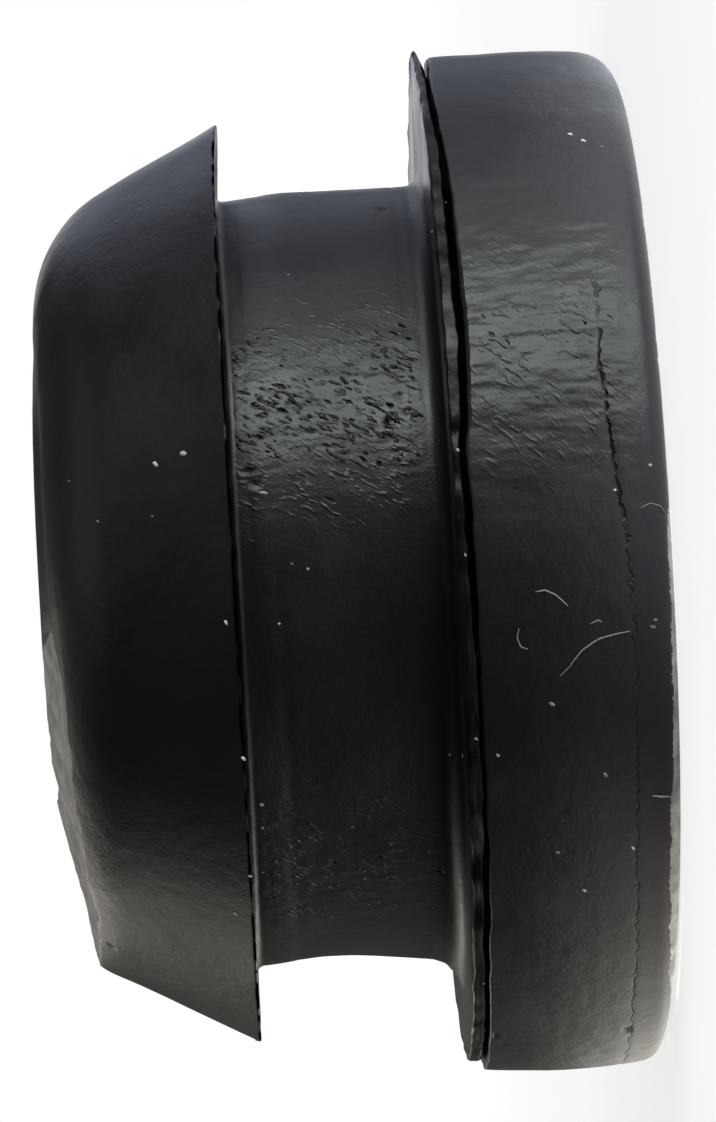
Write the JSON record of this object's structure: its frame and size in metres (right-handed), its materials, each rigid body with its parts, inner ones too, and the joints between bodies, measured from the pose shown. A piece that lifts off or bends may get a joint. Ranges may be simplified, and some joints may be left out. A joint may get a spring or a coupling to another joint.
{
  "type": "isolator bushing",
  "caption": "Round push-in rubber bushing with a thick flange, a groove for a panel edge, a barbed taper nose and a through bore.",
  "frame": {"origin": "centre of the flange's flat end face, on the bore's axis", "axes": "+Z along the bore's axis from the flange to the nose; the part is round, so +X and +Y are any two square directions across it"},
  "size_m": [0.0254, 0.0254, 0.0147],
  "materials": {
    "rubber": "satin moulded"
  },
  "bodies": {
    "root": {"bushing": "rubber"}
  },
  "joints": []
}
